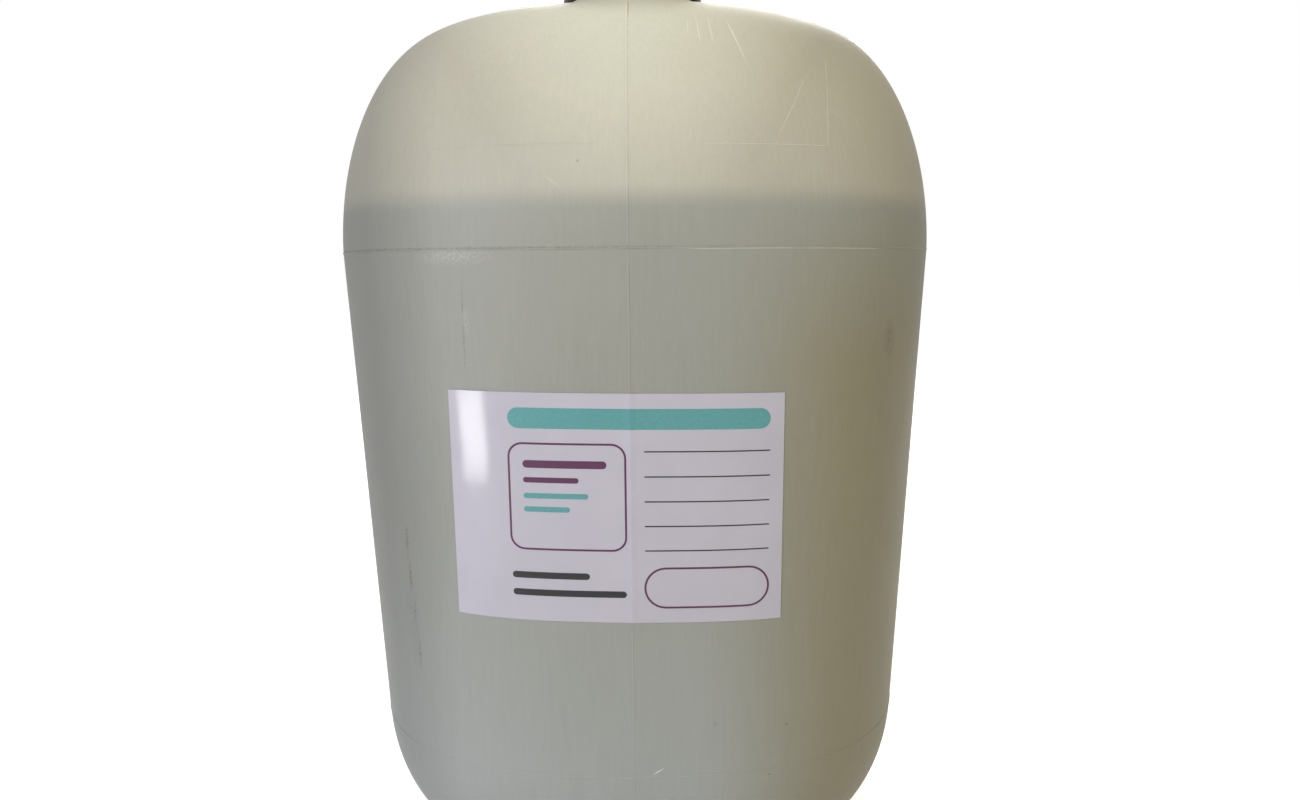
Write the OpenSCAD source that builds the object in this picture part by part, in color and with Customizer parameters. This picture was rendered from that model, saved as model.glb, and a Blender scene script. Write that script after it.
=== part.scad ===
// Blow-moulded 25 litre can with a screw cap, a stuck-on label and the liquid it holds.
// The origin is on the floor under the middle of the body. The label faces -Y.

/* [Body] */
// Width of the body at the upper mould line
body_w = 300; // [250:1:365]
// Depth of the body at the upper mould line
body_d = 290; // [260:1:350]
// Height from the floor to the top of the shoulders
body_h = 424; // [350:1:520]
// Thickness of the moulded wall
wall = 2.2; // [1.6:0.1:3]
// Squareness of the plan, where 2 is an ellipse
plan_power = 2.75; // [2.2:0.05:3.5]
// How far each side draws in from the upper mould line to the floor
taper = 13; // [0:1:20]

/* [Shoulders and foot] */
// Height of the shoulder curve above the upper mould line
shoulder_h = 110; // [90:1:135]
// How far the shoulder curve draws in
shoulder_in = 55; // [45:1:65]
// Height of the foot curve below the lower mould line
foot_h = 75; // [60:1:95]
// How far the foot curve draws in
foot_in = 47; // [35:1:55]
// Width of the ring that the can stands on
stand_w = 14; // [8:1:24]
// Height of the hollow under the base
push_up = 6; // [3:1:10]

/* [Neck] */
// Distance from the front of the body to the axis of the neck
neck_setback = 83; // [70:1:95]
// Radius of the hole through the neck
neck_bore_r = 24.5; // [20:0.5:27]
// Thickness of the neck's wall under the thread
neck_wall = 3; // [2:0.5:4]
// Height of the boss above the shoulders
boss_h = 4; // [2:1:8]

/* [Thread] */
// Rise of the thread in one turn
pitch = 6; // [4:0.5:8]
// Number of turns of thread on the neck
thread_turns = 2; // [1.5:0.25:3]
// How far the thread stands out of the neck
thread_depth = 2.3; // [1.5:0.1:3]
// Radial clearance between the neck and the cap
thread_gap = 0.5; // [0.3:0.1:0.8]

/* [Cap] */
// Thickness of the cap's skirt
skirt_wall = 2.4; // [1.8:0.1:3.5]
// Thickness of the cap's top
cap_top = 2.6; // [1.8:0.1:4]
// Number of grip ribs round the cap
rib_count = 60; // [36:1:80]
// Height of a grip rib
rib_h = 1; // [0.5:0.1:1.6]
// Thickness of the sealing disc
liner_t = 2; // [1:0.1:3]
// Height of the tamper ring under the cap
ring_h = 5.5; // [5:0.5:8]

/* [Handle] */
// Distance from the axis of the neck to the handle's front post
post_setback = 58; // [54:1:66]
// Distance from the back of the body to the handle's rear post
post_rear = 33; // [28:1:45]
// Width of the grip
grip_w = 30; // [26:1:36]
// Thickness of the grip
grip_t = 24; // [20:1:28]
// Height of the grip's centre line above the shoulders
grip_rise = 2; // [-4:1:8]
// Depth of the hand hollow below the shoulders
hollow_depth = 48; // [40:1:56]
// Half the length of the hand hollow's floor, across the can
hollow_half = 36; // [28:1:46]

/* [Label and liquid] */
// Width of the label, measured straight across
label_w = 144; // [90:1:160]
// Height of the label
label_h = 102; // [60:1:120]
// Distance from the upper mould line down to the label's top
label_drop = 60; // [10:1:90]
// How far the label sits to the left of the middle
label_left = 8; // [0:1:20]
// How far the label leans clockwise, in degrees
label_tilt = 0.7; // [0:0.1:3]
// Thickness of the label
label_t = 0.25; // [0.15:0.05:0.5]
// Distance from the top of the shoulders down to the liquid's surface
level_drop = 90; // [62:1:200]

/* [Hidden] */

$fn = 64;
plan_sides = 64;
foot_steps = 8;
shoulder_steps = 12;
thread_steps = 30;
label_step = 4;
// Clearance between pieces that lie against each other
seam = 0.3;
label_gap = 0.2;
// Every cut runs this far past the face it opens
over = 1;

mould_z = body_h - shoulder_h;
level_z = body_h - level_drop;
label_z = mould_z - label_drop - label_h / 2;

// Neck and cap, from the bore outwards
bead_step = 0.8;
lip_step = 1.3;
boss_set_in = 1.5;
neck_y = -body_d / 2 + neck_setback;
neck_r = neck_bore_r + neck_wall;
crest_r = neck_r + thread_depth;
bead_r = crest_r + bead_step;
skirt_r = crest_r + thread_gap;
liner_r = crest_r - thread_gap;
ring_in_r = bead_r + thread_gap;
ring_lip_r = neck_r + lip_step;
cap_r = skirt_r + skirt_wall;
boss_r = cap_r - boss_set_in;
boss_slope = 3;
boss_sink = 14;
rim_edge = 0.8;
cap_edge = 1.2;

// Neck and cap, from the boss upwards
ring_gap = 0.7;
ring_lip_h = 1.8;
bead_h = 1.8;
thread_lead = 2;
ridge_root = 3;
ridge_crest = 1.2;
ridge_sink = 0.6;
boss_z = body_h + boss_h;
ring_z = boss_z + ring_gap;
bead_z = ring_z + ring_lip_h + ring_gap;
thread_z = bead_z + bead_h + thread_lead + ridge_root / 2;
rim_z = thread_z + pitch * thread_turns + ridge_root / 2 + thread_lead;
liner_z = rim_z + seam;
cap_z = ring_z + ring_h + ring_gap;
cap_under_z = liner_z + liner_t;
cap_thread_z = thread_z + pitch / 2;
cap_thread_turns = thread_turns - 0.5;

// Handle, along Y from the front post to the rear post
bend_inside = 11;
post_front_y = neck_y + post_setback;
post_rear_y = body_d / 2 - post_rear;
grip_z = body_h + grip_rise;
bend_r = grip_t / 2 + bend_inside;
hollow_z = body_h - hollow_depth;
hollow_r = 24;
hollow_flare = 26;

function arc_in(u) = 1 - sqrt(max(0, 1 - u * u));
// How far a section at height z lies inside the widest one, on a skin g deep
function inset(z, g) =
    g + taper * max(0, mould_z - z) / mould_z
    + (z < foot_h ? (foot_in - g) * arc_in((foot_h - z) / (foot_h - g)) : 0)
    + (z > mould_z ? (shoulder_in - g) * arc_in((z - mould_z) / (shoulder_h - g)) : 0);
// The plan turns into an ellipse as it draws in
function power(z) = 2 + (plan_power - 2) * max(0.05, 1 - inset(z, 0) / shoulder_in);
function bend(v, n) = sign(v) * pow(abs(v), 2 / n);
function plan(a, b, n, z) =
    [for (i = [0 : plan_sides - 1])
        let (t = 360 * i / plan_sides)
        [a * bend(cos(t), n), b * bend(sin(t), n), z]];
function section(z, g) =
    plan(body_w / 2 - inset(z, g), body_d / 2 - inset(z, g), power(z), z);
function levels(g) = concat(
    [for (i = [0 : foot_steps]) foot_h - (foot_h - g) * cos(90 * i / foot_steps)],
    [for (i = [0 : shoulder_steps]) mould_z + (shoulder_h - g) * sin(90 * i / shoulder_steps)]);
function front_y(x, z) =
    -(body_d / 2 - inset(z, 0)) * pow(1 - pow(abs(x) / (body_w / 2 - inset(z, 0)), power(z)), 1 / power(z));

// Closed skin over a list of rings, each anticlockwise seen from the last ring
module loft(rings) {
    n = len(rings[0]);
    last = len(rings) - 1;
    sides = [for (j = [0 : last - 1], i = [0 : n - 1])
        let (a = j * n + i, b = j * n + (i + 1) % n)
        each [[a, a + n, b + n], [a, b + n, b]]];
    ends = [[for (i = [0 : n - 1]) i], [for (i = [n - 1 : -1 : 0]) last * n + i]];
    polyhedron([for (r = rings) each r], concat(sides, ends));
}

module body_skin(g, top_z) {
    loft([for (z = concat([for (z = levels(g)) if (z < top_z - seam) z], [top_z])) section(z, g)]);
}

// The hollow under the base, as a plug that the walls stand round
module base_plug(g) {
    a = body_w / 2 - inset(0, 0) - stand_w + g;
    b = body_d / 2 - inset(0, 0) - stand_w + g;
    loft([plan(a, b, 2, -over), plan(a, b, 2, 0), plan(a - push_up, b - push_up, 2, push_up + g)]);
}

module hand_hollow(g) {
    hull()
        for (x = [-1, 1], y = [post_front_y + hollow_r, post_rear_y - hollow_r]) {
            translate([x * hollow_half, y, hollow_z + hollow_r])
                sphere(hollow_r + g, $fn = 24);
            translate([x * (hollow_half + hollow_flare), y, body_h + hollow_r])
                sphere(hollow_r + g, $fn = 24);
        }
}

module grip_section(g) {
    square([grip_w - grip_t, grip_t - 2 * g], center = true);
    for (x = [-1, 1])
        translate([x * (grip_w - grip_t) / 2, 0])
            circle(grip_t / 2 - g);
}

// Two posts, two bends and a straight grip, all of one section
module handle(g, foot_z) {
    for (y = [post_front_y, post_rear_y])
        translate([0, y, foot_z])
            linear_extrude(grip_z - bend_r - foot_z)
                grip_section(g);
    for (e = [[post_front_y + bend_r, 180], [post_rear_y - bend_r, 90]])
        translate([0, e[0], grip_z - bend_r])
            rotate([0, 90, 0])
                rotate_extrude(angle = 90, start = e[1])
                    translate([bend_r, 0])
                        rotate(90)
                            grip_section(g);
    translate([0, post_front_y + bend_r, grip_z])
        rotate([-90, 0, 0])
            linear_extrude(post_rear_y - post_front_y - 2 * bend_r)
                grip_section(g);
}

// Helical ridge of two radii and the width it has at each
module ridge(r_in, w_in, r_out, w_out, turns) {
    loft([for (k = [0 : thread_steps * turns])
        let (t = 360 * k / thread_steps, rise = pitch * k / thread_steps)
        [for (p = [[r_in, -w_in], [r_in, w_in], [r_out, w_out], [r_out, -w_out]])
            [p[0] * cos(t), p[0] * sin(t), rise + p[1] / 2]]]);
}

module neck_outside() {
    rotate_extrude()
        polygon([
            [0, body_h - boss_sink], [boss_r + boss_slope, body_h - boss_sink],
            [boss_r + boss_slope, body_h], [boss_r, boss_z], [neck_r, boss_z],
            [neck_r, bead_z], [bead_r, bead_z], [bead_r - bead_h / 2, bead_z + bead_h],
            [neck_r, bead_z + bead_h], [neck_r, rim_z - rim_edge], [neck_r - rim_edge, rim_z], [0, rim_z]]);
    translate([0, 0, thread_z])
        ridge(neck_r - ridge_sink, ridge_root, crest_r, ridge_crest, thread_turns);
}

module bottle() {
    color([0.80, 0.80, 0.74])
        difference() {
            union() {
                difference() {
                    body_skin(0, body_h);
                    hand_hollow(0);
                }
                handle(0, hollow_z - over);
                translate([0, neck_y, 0]) neck_outside();
            }
            difference() {
                body_skin(wall, body_h - wall);
                hand_hollow(wall);
                base_plug(wall);
            }
            handle(wall, hollow_z - wall - grip_t / 2);
            translate([0, neck_y, body_h - boss_sink - over])
                cylinder(h = rim_z - body_h + boss_sink + 2 * over, r = neck_bore_r);
            base_plug(0);
        }
}

module liquid() {
    color([0.70, 0.74, 0.72, 0.5])
        difference() {
            body_skin(wall + seam, level_z);
            base_plug(wall + seam);
        }
}

// Thin sheet that follows the front of the body
module label() {
    columns = ceil(label_w / label_step);
    rows = 6;
    color([0.93, 0.92, 0.95])
        loft([for (i = [0 : columns])
            let (
                across = label_w * (i / columns - 0.5),
                x = across - label_left,
                mid_z = label_z - across * tan(label_tilt),
                heights = [for (j = [0 : rows]) mid_z + label_h * (j / rows - 0.5)])
            concat(
                [for (j = [0 : rows])
                    [x, front_y(x, heights[j]) - label_gap, heights[j]]],
                [for (j = [rows : -1 : 0])
                    [x, front_y(x, heights[j]) - label_gap - label_t, heights[j]]])]);
}

module tamper_ring() {
    color([0.12, 0.12, 0.13])
        translate([0, neck_y, 0])
            rotate_extrude()
                polygon([
                    [ring_lip_r, ring_z], [cap_r, ring_z], [cap_r, ring_z + ring_h], [ring_in_r, ring_z + ring_h],
                    [ring_in_r, ring_z + ring_lip_h], [ring_lip_r, ring_z + ring_lip_h / 2]]);
}

module cap_liner() {
    color([0.92, 0.92, 0.90])
        translate([0, neck_y, liner_z])
            cylinder(h = liner_t, r = liner_r);
}

// Skirt with grip ribs, a bevelled top and the thread inside
module cap() {
    // A rib's foot and crest, as shares of the spacing
    foot = 0.42;
    flank = 0.12;
    skirt_h = cap_under_z + cap_top - cap_edge - cap_z;
    outline = [for (i = [0 : rib_count - 1], e = [[0, 0], [flank, rib_h], [foot - flank, rib_h], [foot, 0]])
        let (t = 360 * (i + e[0]) / rib_count)
        (cap_r + e[1]) * [cos(t), sin(t)]];
    color([0.12, 0.12, 0.13])
        translate([0, neck_y, 0]) {
            difference() {
                union() {
                    translate([0, 0, cap_z])
                        linear_extrude(skirt_h)
                            polygon(outline);
                    translate([0, 0, cap_z + skirt_h])
                        cylinder(h = cap_edge, r1 = cap_r, r2 = cap_r - cap_edge);
                }
                translate([0, 0, cap_z - over])
                    cylinder(h = cap_under_z - cap_z + over, r = skirt_r);
            }
            translate([0, 0, cap_thread_z])
                ridge(neck_r + thread_gap, ridge_crest, skirt_r + ridge_sink, ridge_root - seam, cap_thread_turns);
        }
}

bottle();
liquid();
label();
tamper_ring();
cap_liner();
cap();
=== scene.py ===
import math

import bmesh
import bpy
import numpy as np
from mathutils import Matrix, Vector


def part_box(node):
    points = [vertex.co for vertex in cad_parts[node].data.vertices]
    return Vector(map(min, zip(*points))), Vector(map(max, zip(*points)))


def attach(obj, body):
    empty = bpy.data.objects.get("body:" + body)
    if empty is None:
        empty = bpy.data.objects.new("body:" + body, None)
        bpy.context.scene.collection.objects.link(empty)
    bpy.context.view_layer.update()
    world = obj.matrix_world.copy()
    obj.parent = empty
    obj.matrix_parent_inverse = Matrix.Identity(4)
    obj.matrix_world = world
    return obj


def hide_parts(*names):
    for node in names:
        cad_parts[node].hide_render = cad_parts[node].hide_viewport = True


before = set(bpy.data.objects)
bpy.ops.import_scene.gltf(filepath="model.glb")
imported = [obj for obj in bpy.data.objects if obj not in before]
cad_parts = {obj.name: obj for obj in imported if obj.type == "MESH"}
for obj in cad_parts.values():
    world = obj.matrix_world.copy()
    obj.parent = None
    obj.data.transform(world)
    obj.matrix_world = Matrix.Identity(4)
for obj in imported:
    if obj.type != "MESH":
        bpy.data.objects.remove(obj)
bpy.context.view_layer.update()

# Bottle
# The can itself, one shell of natural high-density polyethylene with its shoulders, neck and hollow handle.
# A hot tube of plastic is blown out against a two-part mould, so every corner is soft.
# All sizes are in millimetres, and each form is a field: below zero inside it, and its distance outside.
MM = 0.001
bottle_high = np.array(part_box("bottle")[1]) / MM
cap_low, cap_high = (np.array(corner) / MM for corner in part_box("cap"))
half_w = bottle_high[0]
half_d = bottle_high[1]
rim_z = bottle_high[2]
neck_y = (cap_low[1] + cap_high[1]) / 2
wall = 2.2

top_z = 424
squareness = 2.75
taper = 13
shoulder_h = 110
shoulder_in = 55
foot_h = 75
foot_in = 47
mould_z = top_z - shoulder_h


def soft_min(a, b, reach):
    """The lower of two fields, blended where they come within reach of each other."""
    share = np.clip(0.5 + 0.5 * (b - a) / reach, 0, 1)
    return b + (a - b) * share - reach * share * (1 - share)


def soft_max(a, b, reach):
    """The higher of two fields, blended in the same way."""
    return -soft_min(-a, -b, reach)


def plan_depth(x, y):
    """How deep a place lies behind the widest outline, which turns into an ellipse as it draws in."""
    x = np.abs(x)
    y = np.abs(y)
    outermost = -30.0
    innermost = min(half_w, half_d) - 0.01
    halvings = 26
    near = np.full(np.broadcast(x, y).shape, outermost)
    far = np.full(near.shape, innermost)
    for _ in range(halvings):
        middle = (near + far) / 2
        power = 2 + (squareness - 2) * np.maximum(0.05, 1 - middle / shoulder_in)
        deeper = (x / (half_w - middle)) ** power + (y / (half_d - middle)) ** power < 1
        near = np.where(deeper, middle, near)
        far = np.where(deeper, far, middle)
    return near


def curved_in(depth, run, rise, past):
    """Field of a wall that curves in over a quarter ellipse, which starts where past is zero."""
    across = np.maximum(1 - depth / run, 1e-6)
    up = np.maximum(past / rise, 0)
    size = np.hypot(across, up)
    return (size - 1) * size / np.hypot(across / run, up / rise)


stand_w = 14
stand_blend = 5
push_up = 6
push_blend = 4
parting_x = -1.7
parting_proud = 0.7
parting_reach = 14


def body(x, y, z):
    """Sides, a little proud at the parting line, shoulders, and a foot hollowed to leave a standing ring."""
    depth = plan_depth(x, y)
    proud = parting_proud * np.exp(-np.abs(x - parting_x) / parting_reach)
    behind_side = depth + proud - taper * np.maximum(mould_z - z, 0) / mould_z
    shoulder = curved_in(behind_side, shoulder_in, shoulder_h, z - mould_z)
    foot = curved_in(behind_side, foot_in, foot_h, foot_h - z)
    hollow_side = (taper + foot_in + stand_w + z - depth) / math.sqrt(2)
    hollow = soft_max(hollow_side, z - push_up, push_blend)
    return soft_max(np.maximum(shoulder, foot), -hollow, stand_blend)


post_front_y = neck_y + 58
post_rear_y = half_d - 33
post_sink = 4
grip_y = (post_front_y + post_rear_y) / 2
grip_half = (post_rear_y - post_front_y) / 2
grip_w = 30
grip_t = 24
grip_z = top_z + 2
bend_r = grip_t / 2 + 11
hollow_z = top_z - 48
hollow_r = 24
hollow_half = 36
hollow_flare = 26


def rounded(a, b):
    """Field where two walls meet, round on the outside of their corner."""
    return np.hypot(np.maximum(a, 0), np.maximum(b, 0)) + np.minimum(np.maximum(a, b), 0)


def hand_hollow(x, y, z):
    """The space for the hand under the grip: a flared trough, rounded all over."""
    out = np.abs(x) - hollow_half
    up = z - hollow_z - hollow_r
    lean = math.atan2(hollow_flare, top_z - hollow_z)
    flank = out * math.cos(lean) - up * math.sin(lean)
    at_corner = (out > 0) & (out * math.sin(lean) + up * math.cos(lean) < 0)
    trough = np.where(at_corner, np.hypot(out, up), np.maximum(flank, -up))
    end = np.abs(y - grip_y) - grip_half + hollow_r
    return rounded(trough, end) - hollow_r


def handle(x, y, z):
    """Two posts, two bends and a straight grip, all of one rounded section."""
    out = np.abs(y - grip_y) - grip_half + bend_r
    up = z - grip_z + bend_r
    line = rounded(out, up) - bend_r
    section = np.hypot(np.maximum(np.abs(x) - (grip_w - grip_t) / 2, 0), line) - grip_t / 2
    return np.maximum(section, hollow_z - post_sink - z)


boss_r = 31.2
boss_h = 4
boss_z = top_z + boss_h
boss_sink = 14
boss_slope = 0.75
boss_edge = 3


def boss(x, y, z):
    """The raised seat of the neck, a low cone sunk in the shoulders."""
    flare = boss_slope * np.clip(boss_z - z, 0, boss_h)
    cone = soft_max(np.hypot(x, y - neck_y) - boss_r - flare, z - boss_z, boss_edge)
    return np.maximum(cone, top_z - boss_sink - z)


hollow_blend = 7
handle_blend = 10
boss_blend = 8


def can(x, y, z):
    """The whole outside of the can below its neck, with the soft blends of a blown piece."""
    hollowed = soft_max(body(x, y, z), -hand_hollow(x, y, z), hollow_blend)
    bridged = soft_min(hollowed, handle(x, y, z), handle_blend)
    return soft_min(bridged, boss(x, y, z), boss_blend)


def cavity(x, y, z):
    """The inside of the wall."""
    return can(x, y, z) + wall


def slope(field, points):
    """Gradient of a field at each point."""
    step = 0.02
    rises = [field(*(points + d).T) - field(*(points - d).T) for d in step * np.eye(3)]
    return np.stack(rises, 1) / (2 * step)


def settled(field, points, rounds=4):
    """Points moved straight onto a field's surface."""
    for _ in range(rounds):
        steepest = slope(field, points)
        points = points - steepest * (field(*points.T) / np.sum(steepest ** 2, 1))[:, None]
    return points


def skin(field, low, high, step):
    """Points and quads over a field's surface, with one point in each grid cell that it passes through."""
    axes = [np.arange(a, b + step, step) for a, b in zip(low, high)]
    values = field(axes[0][:, None, None], axes[1][:, None], axes[2])
    inside = values < 0
    size = np.array(values.shape) - 1
    corners = np.array([(i, j, k) for i in (0, 1) for j in (0, 1) for k in (0, 1)])
    count = sum(inside[i:size[0] + i, j:size[1] + j, k:size[2] + k].astype(int) for i, j, k in corners)
    cells = np.argwhere((count > 0) & (count < 8))
    number = np.full(size, -1)
    number[tuple(cells.T)] = np.arange(len(cells))
    total = np.zeros((len(cells), 3))
    hits = np.zeros((len(cells), 1))
    for start in corners:
        for along in np.eye(3, dtype=int)[start == 0]:
            a = values[tuple((cells + start).T)]
            b = values[tuple((cells + start + along).T)]
            crossed = (a < 0) != (b < 0)
            share = np.where(crossed, a, 0) / np.where(crossed, a - b, 1)
            total += crossed[:, None] * start + share[:, None] * along
            hits += crossed[:, None]
    points = settled(field, np.array(low) + step * (cells + total / hits))
    faces = []
    for axis in range(3):
        along, u, v = np.roll(np.eye(3, dtype=int), -axis, 0)
        ends = tuple(slice(0, n) for n in size + 1 - along), tuple(slice(d, None) for d in along)
        at = np.argwhere(inside[ends[0]] != inside[ends[1]])
        quads = np.stack([number[tuple((at + d).T)] for d in (-u - v, -v, 0 * u, -u)], 1)
        leaving = inside[tuple(at.T)]
        faces += [quads[leaving], quads[~leaving][:, ::-1]]
    return points, np.concatenate(faces)


def swept(rings, closed):
    """Points and faces of a solid that follows rings of points, closed into a loop or capped at its ends."""
    rings = np.asarray(rings, float)
    count, n = rings.shape[:2]
    faces = []
    for j in range(count if closed else count - 1):
        a = j * n
        b = (j + 1) % count * n
        faces += [(a + i, b + i, b + (i + 1) % n, a + (i + 1) % n) for i in range(n)]
    if not closed:
        faces += [tuple(range(n)), tuple(range(count * n - 1, (count - 1) * n - 1, -1))]
    return rings.reshape(-1, 3), faces


def turned(outline, steps):
    """Points and faces of an outline of radii and heights turned about the neck's axis."""
    turns = 2 * math.pi * np.arange(steps) / steps
    r, z = np.array(outline, float).T
    rings = [np.stack([r * math.cos(t), neck_y + r * math.sin(t), z], 1) for t in turns]
    return swept(rings, True)


one_point = 0.001
speck = 0.01


def solid(name, made):
    """Object of a closed mesh from points in millimetres and faces, with points that meet made one."""
    points, faces = made
    mesh = bpy.data.meshes.new(name)
    mesh.from_pydata((np.asarray(points) * MM).tolist(), [], [tuple(map(int, f)) for f in faces])
    work = bmesh.new()
    work.from_mesh(mesh)
    bmesh.ops.remove_doubles(work, verts=work.verts, dist=one_point * MM)
    bmesh.ops.recalc_face_normals(work, faces=work.faces)
    work.to_mesh(mesh)
    work.free()
    piece = bpy.data.objects.new(name, mesh)
    bpy.context.scene.collection.objects.link(piece)
    return piece


def fused(piece, *tools):
    """Joins or cuts a piece with each tool, an operation and an object, and clears the specks that leaves."""
    for operation, tool in tools:
        step = piece.modifiers.new(operation, "BOOLEAN")
        step.operation = operation
        step.solver = "MANIFOLD"
        step.object = tool
    result = bpy.data.meshes.new_from_object(piece.evaluated_get(bpy.context.evaluated_depsgraph_get()))
    result.materials.clear()
    work = bmesh.new()
    work.from_mesh(result)
    bmesh.ops.dissolve_degenerate(work, edges=work.edges, dist=speck * MM)
    work.to_mesh(result)
    work.free()
    piece.modifiers.clear()
    piece.data = result
    for _, tool in tools:
        bpy.data.objects.remove(tool)


def smooth(piece, edge_deg):
    """Shades a piece smooth, apart from edges sharper than an angle."""
    piece.data.shade_smooth()
    piece.data.set_sharp_from_angle(angle=math.radians(edge_deg))


bore_r = 24.5
neck_r = 27.5
bead_r = 30.6
bead_z = boss_z + 3.2
thread_z = boss_z + 8.5
pitch = 6
neck_steps = 128
neck_root_z = boss_z - 6
bore_root_z = top_z - 18
# Radius and height of each corner of the neck and of its bore
neck_outline = [
    (0, neck_root_z), (neck_r + 2, neck_root_z), (neck_r + 2, boss_z - 0.3), (neck_r + 0.6, boss_z + 0.5),
    (neck_r, boss_z + 1.8), (neck_r, bead_z - 0.3), (neck_r + 0.3, bead_z), (bead_r - 0.3, bead_z),
    (bead_r, bead_z + 0.3), (bead_r - 0.6, bead_z + 1.5), (bead_r - 1, bead_z + 1.8),
    (neck_r + 0.4, bead_z + 1.8), (neck_r, bead_z + 2.2), (neck_r, rim_z - 1), (neck_r - 0.3, rim_z - 0.3),
    (neck_r - 1, rim_z), (0, rim_z)]
bore_outline = [
    (0, bore_root_z), (bore_r, bore_root_z), (bore_r, rim_z - 0.6), (bore_r + 0.2, rim_z - 0.2),
    (bore_r + 0.7, rim_z), (bore_r + 1.7, rim_z + 1), (0, rim_z + 1)]


def thread(root_r, root_w, crest_r, crest_w, start_z, turns):
    """Points and faces of a screw ridge with rounded flanks, which runs out to nothing at both ends."""
    steps_per_turn = 64
    steps = int(turns * steps_per_turn)
    # How far out each corner of the section lies, as a share of the ridge's height, and how far up
    section = [
        (0, -root_w), (0.7, -1.25 * crest_w), (1, -0.6 * crest_w),
        (1, 0.6 * crest_w), (0.7, 1.25 * crest_w), (0, root_w)]
    rings = []
    for k in range(steps + 1):
        t = 2 * math.pi * turns * k / steps
        # Each end runs out over an eighth of the length
        end = min(1, 8 * min(k, steps - k) / steps + 0.05)
        tall = (crest_r - root_r) * math.sin(end * math.pi / 2)
        rings.append([
            ((root_r + out * tall) * math.cos(t), neck_y + (root_r + out * tall) * math.sin(t),
             start_z + pitch * turns * k / steps + up / 2)
            for out, up in section])
    return swept(rings, False)


neck_ridge = thread(root_r=neck_r - 0.6, root_w=3, crest_r=29.8, crest_w=1.2, start_z=thread_z, turns=2)
outside_step = 3
inside_step = 5.5
margin = 7
skin_low = np.array([-half_w - margin, -half_d - margin, -margin])
skin_high = np.array([half_w + margin, half_d + margin, grip_z + grip_t / 2 + margin])
bottle = solid("bottle_shell", skin(can, skin_low, skin_high, outside_step))
fused(
    bottle,
    ("UNION", solid("neck", turned(neck_outline, neck_steps))),
    ("UNION", solid("neck_thread", neck_ridge)),
    ("DIFFERENCE", solid("inside", skin(cavity, skin_low, skin_high, inside_step))),
    ("DIFFERENCE", solid("bore", turned(bore_outline, neck_steps))))
smooth(bottle, 32)


def linear(colour):
    """Linear RGBA of an sRGB hex colour."""
    shares = [int(colour[i:i + 2], 16) / 255 for i in (1, 3, 5)]
    return [s / 12.92 if s <= 0.04045 else ((s + 0.055) / 1.055) ** 2.4 for s in shares] + [1]


def add(tree, kind, sockets=None, **settings):
    """Adds a shader node with its settings, and sets or links its sockets."""
    made = tree.nodes.new(kind)
    for name, value in settings.items():
        setattr(made, name, value)
    for name, value in (sockets or {}).items():
        if isinstance(value, bpy.types.NodeSocket):
            tree.links.new(value, made.inputs[name])
        else:
            made.inputs[name].default_value = value
    return made


def new_material(name):
    """An empty material and its node tree."""
    material = bpy.data.materials.new(name)
    material.use_nodes = True
    material.node_tree.nodes.clear()
    return material, material.node_tree


# Natural high-density polyethylene, blow-moulded: a milky satin wall that lets light through.
# The eye sees what stands behind it: paler and creamier over air, and greyer where the liquid wets it.
# Painted light makes it paler still around the neck. Painted shade darkens the air just over the level and
# the wetted wall about the label's height, where the label shadows light through it, darkens the front's left
# corner, and turns its right one a darker warm yellow. The die has drawn fine upright lines, and handling has
# left rubs.
level_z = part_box("liquid")[1].z
polyethylene, tree = new_material("natural_polyethylene_blow_moulded")
place = add(tree, "ShaderNodeTexCoord").outputs["Object"]
axis = add(tree, "ShaderNodeSeparateXYZ", {"Vector": place}).outputs

# Behind the wall: the liquid up to its level, and air above it
# Painted shade: the air just over the level is darker, brightening upwards over 45 mm.
painted_shade_over_level = add(tree, "ShaderNodeMapRange", {
    "Value": axis["Z"], "From Min": level_z, "From Max": level_z + 45 * MM, "To Min": 0.72})
over_air = add(tree, "ShaderNodeMapRange", {
    "Value": axis["Z"], "From Min": level_z - 5 * MM, "From Max": level_z + 7 * MM,
    "To Max": painted_shade_over_level.outputs["Result"]}, interpolation_type="SMOOTHSTEP")
# Painted shade: the wetted wall darkens from the foot up to 190 mm and lightens again towards the level,
# where the label shadows light through it.
above_foot = add(tree, "ShaderNodeMapRange", {"Value": axis["Z"], "From Min": 70 * MM, "From Max": 190 * MM})
wetted_and_shaded = add(tree, "ShaderNodeMix", {
    0: above_foot.outputs["Result"], 6: linear("#A8ACAA"), 7: linear("#9EA099")}, data_type="RGBA")
near_level = add(tree, "ShaderNodeMapRange", {"Value": axis["Z"], "From Min": 210 * MM, "From Max": level_z})
wetted_and_shaded = add(tree, "ShaderNodeMix", {
    0: near_level.outputs["Result"], 6: wetted_and_shaded.outputs[2], 7: linear("#A5A69E")}, data_type="RGBA")
to_front = add(tree, "ShaderNodeMapRange", {"Value": axis["Y"], "From Min": 10 * MM, "From Max": -70 * MM})
# Painted warm shade: below the level the front's right corner turns a darker yellow, fading out towards the
# back.
to_right = add(tree, "ShaderNodeMapRange", {
    "Value": axis["X"], "From Min": 22 * MM, "From Max": 100 * MM, "To Max": to_front.outputs["Result"]},
    interpolation_type="SMOOTHSTEP")
below_level = add(tree, "ShaderNodeMapRange", {"Value": axis["Z"], "From Min": level_z, "From Max": 266 * MM})
painted_right_shade = add(tree, "ShaderNodeMath", {
    0: to_right.outputs["Result"], 1: below_level.outputs["Result"]}, operation="MULTIPLY")
wetted_and_shaded = add(tree, "ShaderNodeMix", {
    0: painted_right_shade.outputs[0], 6: wetted_and_shaded.outputs[2], 7: linear("#9A957F")}, data_type="RGBA")
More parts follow.
